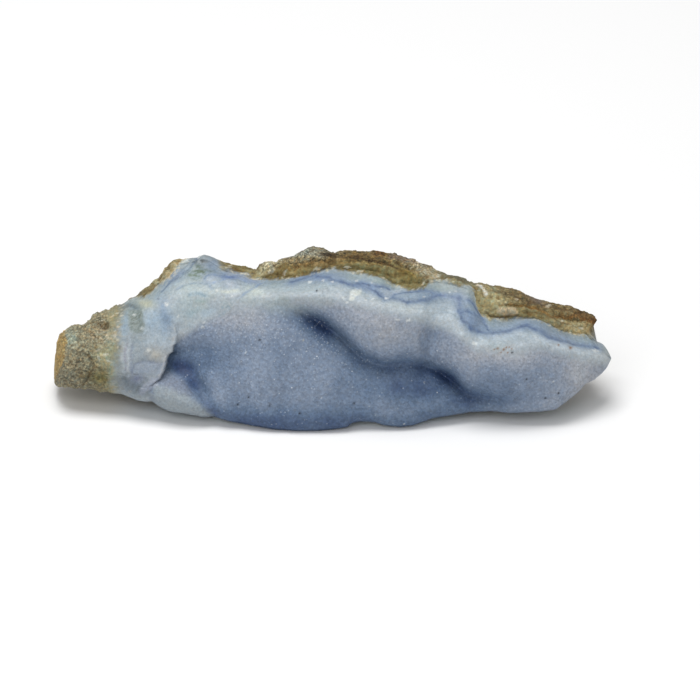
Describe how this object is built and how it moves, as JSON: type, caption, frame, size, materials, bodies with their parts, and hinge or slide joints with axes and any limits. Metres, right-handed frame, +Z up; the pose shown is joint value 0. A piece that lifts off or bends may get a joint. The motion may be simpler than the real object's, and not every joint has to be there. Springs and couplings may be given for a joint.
{
  "type": "rough chalcedony",
  "caption": "Rough lump of banded blue chalcedony with a lobed druzy face, host rock along its top, end and back, resting on a broken flat.",
  "frame": {"origin": "centre of the stone's footprint, on the surface it rests on", "axes": "+X along the stone's length towards its thin tip, -Y out of the druzy face, +Z up"},
  "size_m": [0.1117, 0.0309, 0.0294],
  "materials": {
    "chalcedony": "Fine druse of quartz grains over pale blue to deep blue-grey chalcedony, waxy banded fracture along the rim, granular olive and brown host rock elsewhere"
  },
  "bodies": {
    "root": {"chalcedony": "chalcedony"}
  },
  "joints": []
}
